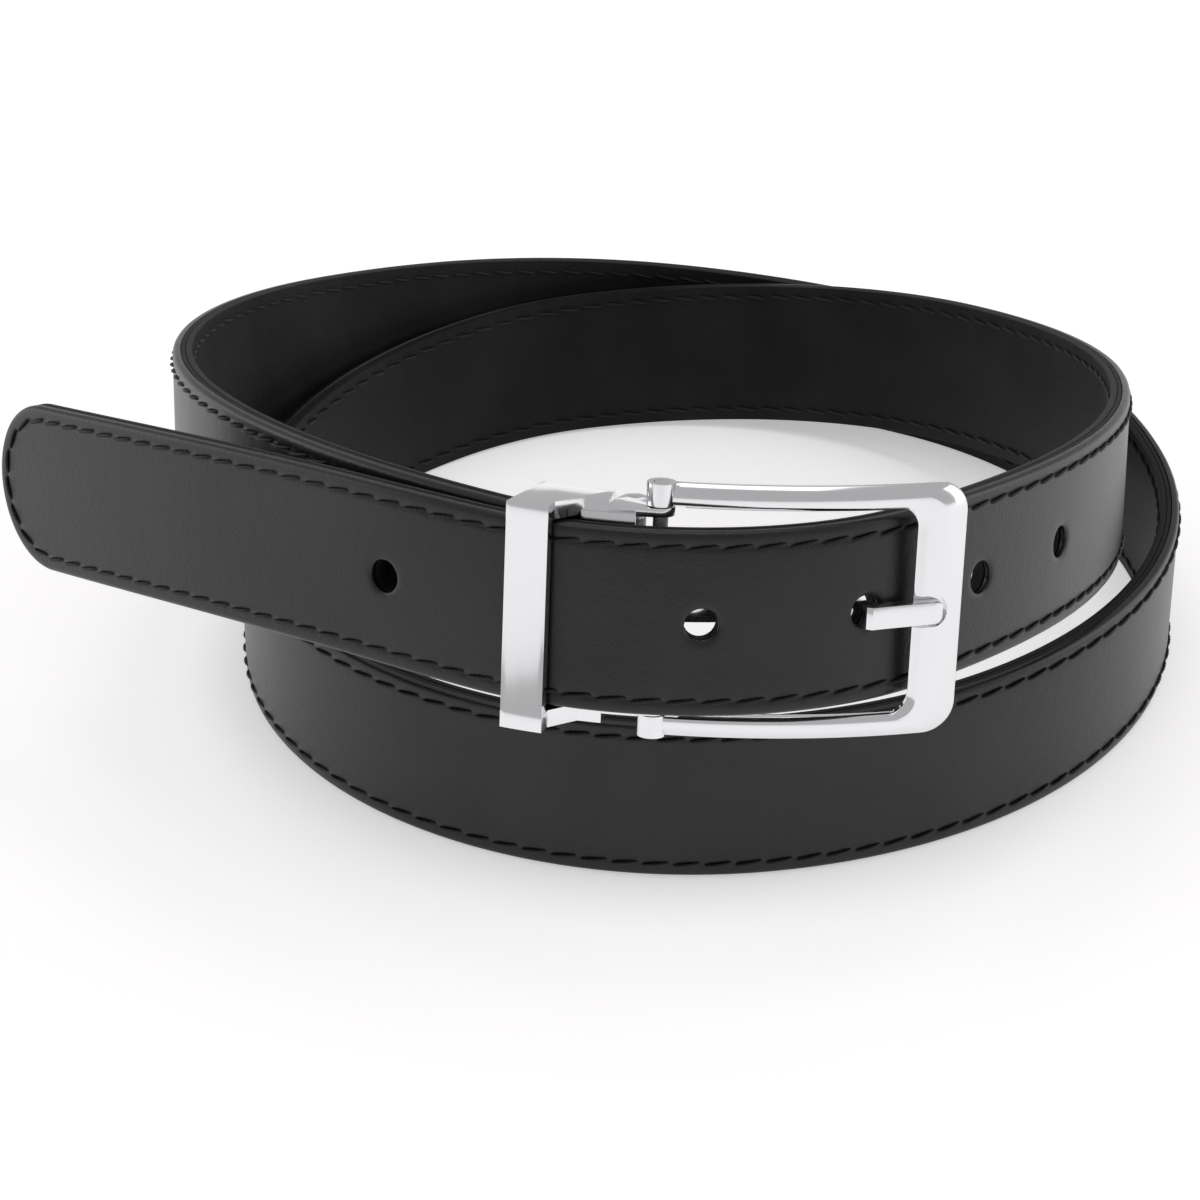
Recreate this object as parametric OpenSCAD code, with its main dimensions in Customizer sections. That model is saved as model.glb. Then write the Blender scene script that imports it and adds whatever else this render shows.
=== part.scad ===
// Dress belt with a clamp buckle, buckled and coiled in two turns, standing on its edge.
// "run" is the distance along the strap, seen from above, from the buckle's hinge pin:
// it grows to the right, round both turns, and is negative towards the free tip.
// "rise" is the distance across the strap's width and "depth" the distance out of its face.

/* [Strap] */
// Width of the strap
strap_width = 30; // [25:1:36]
// Thickness of the outer leather
outer_thick = 1.5; // [1.2:0.1:1.8]
// Thickness of the filler board between the two leathers
filler_thick = 0.9; // [0.6:0.1:1.2]
// Thickness of the lining leather
lining_thick = 1.2; // [0.8:0.1:1.4]
// Thickness of each glue line
glue_line = 0.03; // [0.02:0.01:0.05]
// Run of the strap's free tip, left of the hinge pin
tip_run = 150.5; // [110:0.5:165]
// Length of the rounded end of the tip
tip_length = 15; // [10:1:18]
// Length of strap between two cross-sections of the model
ring_step = 6; // [5:1:8]

/* [Stitching] */
// Distance from a stitch row to the strap's edge
stitch_inset = 2.5; // [2:0.25:4]
// Width of the thread
thread_width = 0.8; // [0.5:0.1:1]
// Height of the thread above the leather
thread_height = 0.3; // [0.2:0.1:0.5]

/* [Holes] */
// Diameter of the punched holes
hole_dia = 5.4; // [5:0.1:6]
// Distance between the punched holes
hole_pitch = 27; // [24:1:28]
// Run of the hole that the prong is in
prong_hole_run = 34; // [33:0.5:35]
// Number of holes left of the one in use
holes_left = 3; // [1:1:4]
// Number of holes right of the one in use
holes_right = 2; // [0:1:4]

/* [Coil] */
// Height of the strap's middle line at the buckle
buckle_height = 68.5; // [60:0.5:76]
// Lean of the raised part of the coil, away from the front, in degrees
coil_lean = 11; // [6:1:14]
// Bend radius of the strap at the buckle
buckle_bend = 57; // [54:1:62]
// Gap between the strap's tip and the clamp's plate
slide_gap = 0.8; // [0.7:0.1:1.2]

/* [Clamp] */
// Thickness of the clamp's plate
plate_thick = 1.2; // [1:0.1:1.5]
// Thickness of the clamp's side walls
wall_thick = 1.4; // [1.2:0.1:1.8]
// Gap between the strap's edge and the clamp's side walls
edge_gap = 0.6; // [0.5:0.1:0.8]
// Run from the hinge pin to the clamp's far end
clamp_run = 22.5; // [22:0.5:26]
// Width of the keeper along the strap
keeper_width = 6.5; // [5.5:0.5:8]
// Thickness of the keeper's front bar
keeper_thick = 2; // [1.5:0.25:2.5]
// Thickness of the keeper's legs across the strap
leg_thick = 2.8; // [2.2:0.1:3.2]

/* [Frame] */
// Radius of the frame's bow
frame_bow = 95; // [90:5:110]
// Distance from the hinge pin to the middle of the frame's end bar
frame_reach = 45; // [44.5:0.5:46]
// Angle of the line from the hinge pin to the end bar
frame_pitch = 9; // [8.5:0.5:9.5]
// Width of the end bar
end_bar_width = 8.5; // [8:0.5:9]
// Width of the side bars
side_bar_width = 3.9; // [3.4:0.1:5]
// Thickness of the frame
frame_thick = 2.6; // [2:0.1:2.8]
// Radius of the frame's outer corners
corner_radius = 5; // [3:0.5:6]

/* [Pins, prong and jaw] */
// Diameter of the hinge pin
hinge_pin_dia = 2.4; // [2:0.1:2.6]
// Diameter of the jaw's pin
jaw_pin_dia = 2; // [1.6:0.1:2.2]
// Radial clearance of each moving part on its pin
running_fit = 0.05; // [0.02:0.01:0.08]
// Width of the prong
prong_width = 3.6; // [3:0.1:3.8]
// Thickness of the prong
prong_thick = 2; // [1.6:0.1:2.2]
// Thickness of the jaw
jaw_thick = 1.4; // [1:0.1:1.8]
// Length of the jaw
jaw_run = 16; // [14:1:17]

/* [Hidden] */
$fn = 64;

// Bends of the strap to the right of the hinge pin, as [length, radius]. The first is the
// buckle's own. The last one's radius is worked out, so that the coil makes two whole turns.
bends = [[46, buckle_bend], [30, 160], [90, 150], [70, 110], [120, 73], [110, 106], [130, 83],
         [160, 96], [180, 90], [140, 112]];
last_bend = 87;
// Bends of the free tip, to the left of the hinge pin.
tip_bends = [[30, buckle_bend], [20, 180], [130, 500]];
// Runs between which the strap comes down from the buckle to the floor and climbs back,
// and between which it stands upright.
down = [-11, 325];
up = [824, 1179];
upright = [290, 440];
leaning = [765, 985];
// The second turn's back is pushed outwards, past the first turn's: [runs, distance].
clear_back = [[740, 830], [880, 970], 3.5];
// Middle of the coil, which is put over the origin.
coil_middle = [-10.8, 111.5];

half_width = strap_width / 2;
strap_thick = outer_thick + filler_thick + lining_thick;
half_thick = strap_thick / 2;
grip_gap = 0.6;
// Depth from the tip's middle line to that of the end held in the clamp.
turn_gap = strap_thick + slide_gap + plate_thick + grip_gap;
// Height of the middle line where the strap stands on the floor, and the extra that
// keeps the corners of its leaning edge above the floor.
floor_height = half_width + 0.1;

// ---- the strap's path ----

// Goes on from pose p, which is [x, y, heading], along an arc.
function arc_on(p, length, radius) =
    let (turn = length / radius * 180 / PI)
    [p[0] + radius * (sin(p[2] + turn) - sin(p[2])),
     p[1] - radius * (cos(p[2] + turn) - cos(p[2])),
     p[2] + turn];

// Pose at a run along a list of bends; the last bend goes on without end.
function along(list, run, p = [0, 0, 0], i = 0) =
    (i == len(list) - 1 || run <= list[i][0])
        ? arc_on(p, run, list[i][1])
        : along(list, run - list[i][0], arc_on(p, list[i][0], list[i][1]), i + 1);

function total(list, i = 0) = i == len(list) ? 0 : list[i][0] + total(list, i + 1);
function smooth(a, b, x) =
    let (t = min(1, max(0, (x - a) / (b - a))))
    t * t * (3 - 2 * t);

clamp_bend = buckle_bend - turn_gap;
clamp_arc = 27;
turned = along(bends, total(bends))[2];
left_to_turn = 720 - turned - clamp_arc / clamp_bend * 180 / PI;
all_bends = concat(bends, [[last_bend, last_bend / (left_to_turn * PI / 180)],
                           [clamp_arc, clamp_bend]]);
loop_run = total(all_bends);
// What the closed loop misses the clamp by is spread over the second turn's last part.
loop_end = along(all_bends, loop_run);
miss = [0 - loop_end[0], turn_gap * cos(coil_lean) - loop_end[1]];
function slip(run) = smooth(loop_run * 0.7, loop_run - clamp_arc - 10, run);

function bump(b, run) = smooth(b[0][0], b[0][1], run) - smooth(b[1][0], b[1][1], run);
function plan(run) =
    run < 0
        ? let (p = along(tip_bends, -run)) [-p[0], p[1], -p[2]]
        : let (p = along(all_bends, run),
               push = clear_back[2] * bump(clear_back, run))
          [p[0] + miss[0] * slip(run) + push * sin(p[2]),
           p[1] + miss[1] * slip(run) - push * cos(p[2]), p[2]];
function height(run) =
    run < down[0]
        ? buckle_height - (buckle_height - floor_height) * smooth(0, down[1] - down[0], down[0] - run)
        : run < up[0]
            ? buckle_height - (buckle_height - floor_height) * smooth(down[0], down[1], run)
            : floor_height
              + (buckle_height - turn_gap * sin(coil_lean) - floor_height) * smooth(up[0], up[1], run);
function lean(run) =
    coil_lean * (run < leaning[0] ? 1 - smooth(upright[0], upright[1], run)
                                  : smooth(leaning[0], leaning[1], run));
function unit(v) = v / norm(v);
function climb(run) = height(run + 0.5) - height(run - 0.5);
function forward(run) = unit([cos(plan(run)[2]), sin(plan(run)[2]), climb(run)]);
function upward(run) =
    let (t = forward(run), w = [0, tan(lean(run)), 1])
    unit(w - t * (w * t));
function outward(run) = cross(forward(run), upward(run));
function middle(run) =
    let (p = plan(run))
    [p[0] - coil_middle[0], p[1] - coil_middle[1], height(run)];
function on_strap(run, rise, depth) = middle(run) + upward(run) * rise + outward(run) * depth;

// ---- sweeps ----

// Closes a row of four-cornered rings into a solid. Opposite sides are split the same way,
// so that layers laid on each other have the same triangles.
module sweep(rings) {
    n = len(rings);
    points = [for (ring = rings) for (p = ring) p];
    sides = [for (i = [0 : n - 2]) let (a = i * 4, b = a + 4) each [
        [a, a + 1, b + 1], [a, b + 1, b],
        [a + 1, a + 2, b + 2], [a + 1, b + 2, b + 1],
        [a + 2, a + 3, b + 2], [a + 3, b + 3, b + 2],
        [a + 3, a, b], [a + 3, b, b + 3]]];
    e = (n - 1) * 4;
    ends = [[0, 2, 1], [0, 3, 2], [e, e + 1, e + 2], [e, e + 2, e + 3]];
    polyhedron(points, concat(sides, ends));
}

// The tip is a half-ellipse: angle 0 is its end and 90 where it meets the edge.
function tip_back(length, angle) = length * (1 - cos(angle));
function tip_side(width, angle) = width * sin(angle);

held_run = loop_run - 4.5;
ring_count = round((held_run + tip_run - tip_length) / ring_step);
tip_angles = [6, 20, 35, 50, 65, 78];
// Cross-sections as [run, half width].
sections = concat(
    [for (a = tip_angles) [tip_back(tip_length, a) - tip_run, tip_side(half_width, a)]],
    [for (i = [0 : ring_count])
        [tip_length - tip_run + (held_run + tip_run - tip_length) * i / ring_count, half_width]]);

module layer(low, high) {
    sweep([for (s = sections) [
        on_strap(s[0], -s[1], low), on_strap(s[0], s[1], low),
        on_strap(s[0], s[1], high), on_strap(s[0], -s[1], high)]]);
}

// Punched holes, as cylinders across the strap.
module holes() {
    for (i = [-holes_left : holes_right]) {
        run = prong_hole_run + i * hole_pitch;
        o = outward(run);
        translate(middle(run))
            rotate([0, acos(o[2]), atan2(o[1], o[0])])
                cylinder(d = hole_dia, h = strap_thick * 3, center = true);
    }
}

outer_low = half_thick - outer_thick;
filler_low = outer_low - filler_thick;

module strap_outer_leather() {
    color([0.1, 0.1, 0.1])
        difference() {
            layer(outer_low, half_thick);
            holes();
        }
}

module strap_filler() {
    color([0.2, 0.18, 0.17])
        difference() {
            layer(filler_low, outer_low - glue_line);
            holes();
        }
}

module strap_lining() {
    color([0.13, 0.13, 0.13])
        difference() {
            layer(-half_thick, filler_low - glue_line);
            holes();
        }
}

// Route of the seam as [run, rise]: along one edge, round the tip and back.
row_rise = half_width - stitch_inset;
seam_tip = tip_length - stitch_inset;
row_runs = [for (i = [0 : ring_count - 1]) sections[i + len(tip_angles)][0]];
seam = concat(
    [for (i = [ring_count - 1 : -1 : 0]) [row_runs[i], row_rise]],
    [for (a = [75 : -25 : -75])
        [tip_back(seam_tip, abs(a)) - tip_run + stitch_inset, sign(a) * tip_side(row_rise, abs(a))]],
    [for (r = row_runs) [r, -row_rise]]);

module thread(low, high) {
    n = len(seam);
    sweep([for (i = [0 : n - 1])
        let (d = unit(seam[min(i + 1, n - 1)] - seam[max(i - 1, 0)]),
             side = [d[1], -d[0]] * thread_width / 2,
             l = seam[i] - side,
             r = seam[i] + side)
        [on_strap(l[0], l[1], low), on_strap(r[0], r[1], low),
         on_strap(r[0], r[1], high), on_strap(l[0], l[1], high)]]);
}

thread_gap = 0.06;
module face_thread() {
    color([0.04, 0.04, 0.04])
        thread(half_thick + thread_gap, half_thick + thread_gap + thread_height);
}

module lining_thread() {
    color([0.04, 0.04, 0.04])
        thread(-half_thick - thread_gap - thread_height, -half_thick - thread_gap);
}

// ---- the buckle, drawn where the tip's middle line bends round the Z axis ----

// Puts the buckle's own frame on the strap: X along it, Y inwards and Z across it.
module on_buckle() {
    translate(middle(0))
        rotate([-coil_lean, 0, 0])
            rotate([0, atan(-climb(0)), 0])
                children();
}

// Place in the buckle's plane of a run and a depth.
function at_bend(run, depth) =
    let (a = run / buckle_bend * 180 / PI)
    [(buckle_bend + depth) * sin(a), buckle_bend - (buckle_bend + depth) * cos(a)];

// Part of a round shell that follows the strap.
module shell(runs, depths, rises) {
    a = runs[0] / buckle_bend * 180 / PI;
    b = runs[1] / buckle_bend * 180 / PI;
    translate([0, buckle_bend, 0])
        rotate([0, 0, a - 90])
            rotate_extrude(angle = b - a, $fn = 120)
                translate([buckle_bend + depths[0], rises[0]])
                    square([depths[1] - depths[0], rises[1] - rises[0]]);
}

inner_rise = half_width + edge_gap;
wall_rise = inner_rise + wall_thick;
plate_depth = -half_thick - slide_gap;
knuckle_radius = hinge_pin_dia / 2 + 0.9;
pin_depth = plate_depth - plate_thick - 0.5 - knuckle_radius;
pin_place = at_bend(0, pin_depth);
frame_gap = 1.3;
lug_gap = 0.2;
lug_rise = wall_rise + lug_gap;
frame_rise = inner_rise + frame_gap + side_bar_width;
jaw_depth = -turn_gap - half_thick - grip_gap;
jaw_knuckle = jaw_pin_dia / 2 + 0.8;
jaw_pin_depth = jaw_depth - jaw_knuckle - 0.1;
jaw_pin_run = -5;
jaw_pin_place = at_bend(jaw_pin_run, jaw_pin_depth);
ear_radius = 2.3;
keeper_gap = 0.9;
keeper_depth = half_thick + keeper_gap;

module post(place, radius, rises) {
    translate([place[0], place[1], rises[0]])
        cylinder(r = radius, h = rises[1] - rises[0]);
}

// Runs where the keeper's leg ends, where its slope reaches the wall, and where the wall
// steps down to the tab that holds both pins.
leg_end = keeper_width - clamp_run;
slope_end = leg_end + 3.5;
step_run = -8.5;
wall_back = -turn_gap - half_thick - 0.5;
wall_front = plate_depth - 0.6;
// The keeper's bar and the plate are let into the sides, and lie this far inside their outline.
inlay = 0.15;
leg_top = keeper_depth + keeper_thick + inlay;

// One side of the clamp: the keeper's leg with the wall behind it, and the tab with the
// two pins' ears.
module clamp_side() {
    translate([0, 0, inner_rise]) {
        linear_extrude(height = leg_thick)
            polygon(concat(
                [for (run = [-clamp_run : 2 : leg_end - 1]) at_bend(run, leg_top)],
                [at_bend(leg_end, leg_top), at_bend(leg_end, keeper_depth - 1),
                 at_bend(slope_end, wall_front), at_bend(step_run, wall_front)],
                [for (run = [step_run : -2 : 0.5 - clamp_run]) at_bend(run, wall_back)],
                [at_bend(-clamp_run, wall_back)]));
        linear_extrude(height = wall_thick)
            hull() {
                translate(pin_place)
                    circle(r = ear_radius);
                translate(jaw_pin_place)
                    circle(r = ear_radius);
                polygon([for (run = [step_run - 2, step_run - 0.5], depth = [wall_front - 2 * inlay, wall_back + 2 * inlay])
                             at_bend(run, depth)]);
            }
    }
}

module clamp_with_keeper() {
    color([0.8, 0.8, 0.82])
        on_buckle()
            difference() {
                union() {
                    shell([inlay - clamp_run, -4], [plate_depth - plate_thick, plate_depth],
                          [-inner_rise - wall_thick / 2, inner_rise + wall_thick / 2]);
                    shell([inlay - clamp_run, leg_end - inlay], [keeper_depth, keeper_depth + keeper_thick],
                          [-inner_rise - wall_thick / 2, inner_rise + wall_thick / 2]);
                    clamp_side();
                    mirror([0, 0, 1])
                        clamp_side();
                }
                post(pin_place, hinge_pin_dia / 2 + 0.02, [-wall_rise - 1, wall_rise + 1]);
                post(jaw_pin_place, jaw_pin_dia / 2 + 0.02, [-wall_rise - 1, wall_rise + 1]);
            }
}

// The frame's bow is a circle through the hinge pin and the end bar's middle.
bow_half = asin(frame_reach / 2 / frame_bow);
bow_centre = pin_place + frame_reach / 2 * [cos(frame_pitch), sin(frame_pitch)]
             + frame_bow * cos(bow_half) * [-sin(frame_pitch), cos(frame_pitch)];
bar_angle = frame_pitch + bow_half;
bar_half_angle = end_bar_width / 2 / frame_bow * 180 / PI;
bow_start = frame_pitch - bow_half - 3;
function on_bow(angle, radius) = bow_centre + radius * [sin(angle), -cos(angle)];
frame_end = on_bow(bar_angle + bar_half_angle, frame_bow)[0];
bar_inner = on_bow(bar_angle - bar_half_angle, frame_bow)[0];
inner_corner = 3;
lug_radius = 2.3;

module frame_outline() {
    difference() {
        rounded_right_end(-30, frame_end, frame_rise, corner_radius);
        rounded_right_end(-40, bar_inner, inner_rise + frame_gap, inner_corner);
    }
}

// Rectangle from one X to another with its two right-hand corners rounded.
module rounded_right_end(left, right, half_height, radius) {
    translate([left, -half_height])
        square([right - left - radius, half_height * 2]);
    translate([right - radius - 0.01, -half_height + radius])
        square([radius + 0.01, (half_height - radius) * 2]);
    for (side = [-1, 1])
        translate([right - radius, side * (half_height - radius)])
            circle(r = radius);
}

module buckle_frame() {
    color([0.83, 0.83, 0.85])
        on_buckle()
            difference() {
                union() {
                    intersection() {
                        translate([bow_centre[0], bow_centre[1], -frame_rise - 1])
                            rotate([0, 0, -90 + bow_start])
                                rotate_extrude(angle = bar_angle + 2 * bar_half_angle - bow_start, $fn = 180)
                                    translate([frame_bow - frame_thick / 2, 0])
                                        square([frame_thick, frame_rise * 2 + 2]);
                        translate([0, 60, 0])
                            rotate([90, 0, 0])
                                linear_extrude(height = 100)
                                    frame_outline();
                        translate([pin_place[0], -40, -frame_rise - 2])
                            cube([100, 120, frame_rise * 2 + 4]);
                    }
                    for (side = [0, 1])
                        mirror([0, 0, side])
                            post(pin_place, lug_radius, [lug_rise, frame_rise]);
                }
                translate([-10, -20, -lug_rise])
                    cube([10 + ear_radius + 1.6, 60, lug_rise * 2]);
                post(pin_place, hinge_pin_dia / 2 + running_fit, [-frame_rise - 1, frame_rise + 1]);
                // Round-ended rest for the prong's end, sunk into the end bar's face.
                translate(concat(on_bow(rest_angle, rest_bow), 0))
                    rotate([90, 0, rest_angle]) {
                        cylinder(r = rest_radius, h = 10);
                        translate([-10, -rest_radius, 0])
                            cube([10, rest_radius * 2, 10]);
                    }
            }
}

// The rest in the end bar: how deep it is, its middle's angle on the bow, and its floor.
rest_depth = 1.1;
rest_radius = prong_width / 2 + 0.8;
rest_angle = bar_angle - bar_half_angle + 1.8;
rest_bow = frame_bow + frame_thick / 2 - rest_depth;
shank_depth = pin_depth + 0.6;
finger_depth = half_thick + 0.3;

// Side view of the prong: a shank behind the strap, a step up through the hole, and a
// finger that lies over the face and rests on the end bar.
module prong_outline() {
    left = prong_hole_run - prong_thick / 2;
    right = prong_hole_run + prong_thick / 2;
    low = rest_bow + 0.15;
    high = low + prong_thick;
    polygon(concat(
        [for (run = [1 : 2 : left]) at_bend(run, shank_depth)],
        [at_bend(left, shank_depth), at_bend(left, finger_depth + 1.2),
         at_bend(left + 0.6, finger_depth + 2), at_bend(right + 1, finger_depth + 2.4),
         on_bow(rest_angle - 1.5, high), on_bow(rest_angle + 0.4, high - 0.2),
         on_bow(rest_angle + 0.9, high - 0.8), on_bow(rest_angle + 0.9, low + 0.4),
         on_bow(rest_angle + 0.6, low), on_bow(rest_angle - 2.4, low),
         at_bend(right + 1, finger_depth + 0.1), at_bend(right, finger_depth - 0.4),
         at_bend(right, shank_depth - prong_thick)],
        [for (run = [right - 2 : -2 : 1]) at_bend(run, shank_depth - prong_thick)]));
}

module prong() {
    color([0.8, 0.8, 0.82])
        on_buckle()
            difference() {
                union() {
                    translate([0, 0, -prong_width / 2])
                        linear_extrude(height = prong_width)
                            prong_outline();
                    post(pin_place, knuckle_radius, [-prong_width / 2, prong_width / 2]);
                }
                post(pin_place, hinge_pin_dia / 2 + running_fit, [-prong_width, prong_width]);
            }
}

module hinge_pin() {
    color([0.7, 0.7, 0.72])
        on_buckle()
            post(pin_place, hinge_pin_dia / 2, [-frame_rise, frame_rise]);
}

tooth_height = 0.3;
module jaw() {
    jaw_rise = half_width - 0.8;
    knuckle_rise = jaw_rise - 0.4;
    tooth_rise = row_rise - thread_width / 2 - 0.6;
    color([0.7, 0.7, 0.72])
        on_buckle()
            difference() {
                union() {
                    shell([jaw_pin_run - jaw_run, jaw_pin_run + 0.6], [jaw_depth - jaw_thick, jaw_depth],
                          [-jaw_rise, jaw_rise]);
                    post(jaw_pin_place, jaw_knuckle, [-knuckle_rise, knuckle_rise]);
                    for (tooth = [2 : 2 : 6])
                        shell([jaw_pin_run - 3 - tooth, jaw_pin_run - 2.2 - tooth],
                              [jaw_depth - 0.1, jaw_depth + tooth_height], [-tooth_rise, tooth_rise]);
                }
                post(jaw_pin_place, jaw_pin_dia / 2 + running_fit, [-jaw_rise - 1, jaw_rise + 1]);
            }
}

module jaw_pin() {
    color([0.65, 0.65, 0.67])
        on_buckle()
            post(jaw_pin_place, jaw_pin_dia / 2, [-wall_rise, wall_rise]);
}

strap_outer_leather();
strap_filler();
strap_lining();
face_thread();
lining_thread();
clamp_with_keeper();
buckle_frame();
prong();
hinge_pin();
jaw();
jaw_pin();
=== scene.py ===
import math

import bmesh
import bpy
import numpy as np
from mathutils import Matrix, Vector


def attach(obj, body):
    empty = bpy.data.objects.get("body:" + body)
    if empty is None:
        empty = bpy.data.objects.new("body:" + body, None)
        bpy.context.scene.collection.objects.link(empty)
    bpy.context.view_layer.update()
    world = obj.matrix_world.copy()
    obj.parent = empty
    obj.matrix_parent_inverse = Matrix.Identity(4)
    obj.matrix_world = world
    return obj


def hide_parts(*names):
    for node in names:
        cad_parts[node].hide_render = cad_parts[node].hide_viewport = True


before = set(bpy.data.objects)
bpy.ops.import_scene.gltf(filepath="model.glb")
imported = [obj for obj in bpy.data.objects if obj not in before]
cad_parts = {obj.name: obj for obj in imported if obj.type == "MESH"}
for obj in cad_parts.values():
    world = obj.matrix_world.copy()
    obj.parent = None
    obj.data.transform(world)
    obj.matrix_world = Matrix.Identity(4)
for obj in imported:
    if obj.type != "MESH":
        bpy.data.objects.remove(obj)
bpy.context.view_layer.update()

bl_info = {
    "name": "Leather dress belt",
    "version": (1, 0, 0),
    "blender": (4, 5, 0),
    "location": "3D View > Sidebar > Belt",
    "description": "A stitched leather dress belt with a clamp buckle, buckled and coiled",
    "category": "Object",
}

MM = 0.001

# ---- sizes in millimetres, as in the CAD source ----

STRAP_WIDTH = 30.0
OUTER_THICK = 1.5
FILLER_THICK = 0.9
LINING_THICK = 1.2
HALF_THICK = (OUTER_THICK + FILLER_THICK + LINING_THICK) / 2
HALF_WIDTH = STRAP_WIDTH / 2
GLUE_LINE = 0.03
OUTER_LOW = HALF_THICK - OUTER_THICK
FILLER_LOW = OUTER_LOW - FILLER_THICK
TIP_RUN = 150.5
TIP_LENGTH = 15.0
STITCH_INSET = 2.5
ROW_RISE = HALF_WIDTH - STITCH_INSET
HOLE_RADIUS = 2.7
PRONG_HOLE_RUN = 34.0
HOLE_PITCH = 27.0
HOLE_RUNS = [PRONG_HOLE_RUN + HOLE_PITCH * i for i in range(-3, 3)]
PATCH_REACH = 5.6
UPPER_NEEDLE = -123.0
LOWER_NEEDLE = -125.5
BUCKLE_HEIGHT = 68.5
FLOOR_HEIGHT = 15.1
COIL_LEAN = 11.0
BUCKLE_BEND = 57.0
PLATE_THICK = 1.2
TURN_GAP = 6.2
COIL_MIDDLE = (-10.8, 111.5)
BENDS = [[46, BUCKLE_BEND], [30, 160], [90, 150], [70, 110], [120, 73], [110, 106],
         [130, 83], [160, 96], [180, 90], [140, 112]]
LAST_BEND = 87.0
CLAMP_ARC = 27.0
TIP_BENDS = [[30, BUCKLE_BEND], [20, 180], [130, 500]]
DOWN = (-11.0, 325.0)
UP = (824.0, 1179.0)
UPRIGHT = (290.0, 440.0)
LEANING = (765.0, 985.0)
CLEAR_BACK = ((740.0, 830.0), (880.0, 970.0), 3.5)

# ---- the strap's path ----


def smooth(a, b, x):
    t = min(1.0, max(0.0, (x - a) / (b - a)))
    return t * t * (3 - 2 * t)


def along(bends, run):
    """Pose [x, y, heading] at a run along a list of bends; the last one goes on."""
    x = y = heading = 0.0
    for i, (length, radius) in enumerate(bends):
        last = i == len(bends) - 1 or run <= length
        part = run if last else length
        turn = part / radius
        x += radius * (math.sin(heading + turn) - math.sin(heading))
        y -= radius * (math.cos(heading + turn) - math.cos(heading))
        heading += turn
        if last:
            break
        run -= length
    return x, y, heading


CLAMP_BEND = BUCKLE_BEND - TURN_GAP
LEFT_TO_TURN = 4 * math.pi - along(BENDS, sum(b[0] for b in BENDS))[2] - CLAMP_ARC / CLAMP_BEND
ALL_BENDS = BENDS + [[LAST_BEND, LAST_BEND / LEFT_TO_TURN], [CLAMP_ARC, CLAMP_BEND]]
LOOP_RUN = sum(b[0] for b in ALL_BENDS)
LOOP_END = along(ALL_BENDS, LOOP_RUN)
MISS = (-LOOP_END[0], TURN_GAP * math.cos(math.radians(COIL_LEAN)) - LOOP_END[1])
HELD_RUN = LOOP_RUN - 4.5


def plan(run):
    if run < 0:
        x, y, heading = along(TIP_BENDS, -run)
        return -x, y, -heading
    x, y, heading = along(ALL_BENDS, run)
    slip = smooth(LOOP_RUN * 0.7, LOOP_RUN - CLAMP_ARC - 10, run)
    push = CLEAR_BACK[2] * (smooth(*CLEAR_BACK[0], run) - smooth(*CLEAR_BACK[1], run))
    return (x + MISS[0] * slip + push * math.sin(heading),
            y + MISS[1] * slip - push * math.cos(heading), heading)


def height(run):
    drop = BUCKLE_HEIGHT - FLOOR_HEIGHT
    if run < DOWN[0]:
        return BUCKLE_HEIGHT - drop * smooth(0, DOWN[1] - DOWN[0], DOWN[0] - run)
    if run < UP[0]:
        return BUCKLE_HEIGHT - drop * smooth(*DOWN, run)
    climb = drop - TURN_GAP * math.sin(math.radians(COIL_LEAN))
    return FLOOR_HEIGHT + climb * smooth(*UP, run)


def lean(run):
    share = 1 - smooth(*UPRIGHT, run) if run < LEANING[0] else smooth(*LEANING, run)
    return math.radians(COIL_LEAN * share)


def pose(run):
    """Middle point and the forward, upward and outward directions at a run."""
    x, y, heading = plan(run)
    t = np.array([math.cos(heading), math.sin(heading), height(run + 0.5) - height(run - 0.5)])
    t /= np.linalg.norm(t)
    w = np.array([0.0, math.tan(lean(run)), 1.0])
    u = w - t * (w @ t)
    u /= np.linalg.norm(u)
    p = np.array([x - COIL_MIDDLE[0], y - COIL_MIDDLE[1], height(run)])
    return np.concatenate([p, t, u, np.cross(t, u)])


TABLE_RUNS = np.arange(-TIP_RUN - 2, LOOP_RUN + 2, 0.5)
TABLE = np.array([pose(r) for r in TABLE_RUNS])


def on_strap(run, rise, depth):
    """World points in metres at arrays of run, rise and depth in millimetres."""
    run = np.asarray(run, float)
    cols = [np.interp(run, TABLE_RUNS, TABLE[:, c]) for c in (0, 1, 2, 6, 7, 8, 9, 10, 11)]
    p, u, n = (np.stack(cols[k:k + 3], -1) for k in (0, 3, 6))
    return (p + u * np.asarray(rise)[..., None] + n * np.asarray(depth)[..., None]) * MM


# ---- outline of the tip, and the seam that follows it ----

def tip_outline(inset, angles):
    """Run and rise of the upper half of the tip's outline, moved inwards by an inset."""
    c = np.cos(angles)
    s = np.sin(angles)
    run = TIP_LENGTH * (1 - c) - TIP_RUN
    rise = HALF_WIDTH * s
    d_run = np.gradient(run)
    d_rise = np.gradient(rise)
    size = np.hypot(d_run, d_rise)
    return run + d_rise / size * inset, rise - d_run / size * inset


FINE_ANGLES = np.linspace(0, math.pi / 2, 4001)
TIP_EDGE = np.stack(tip_outline(0.0, FINE_ANGLES), -1)
TIP_ARC = np.concatenate([[0], np.cumsum(np.hypot(*np.diff(TIP_EDGE, axis=0).T))])
BAND = 3.4


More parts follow.
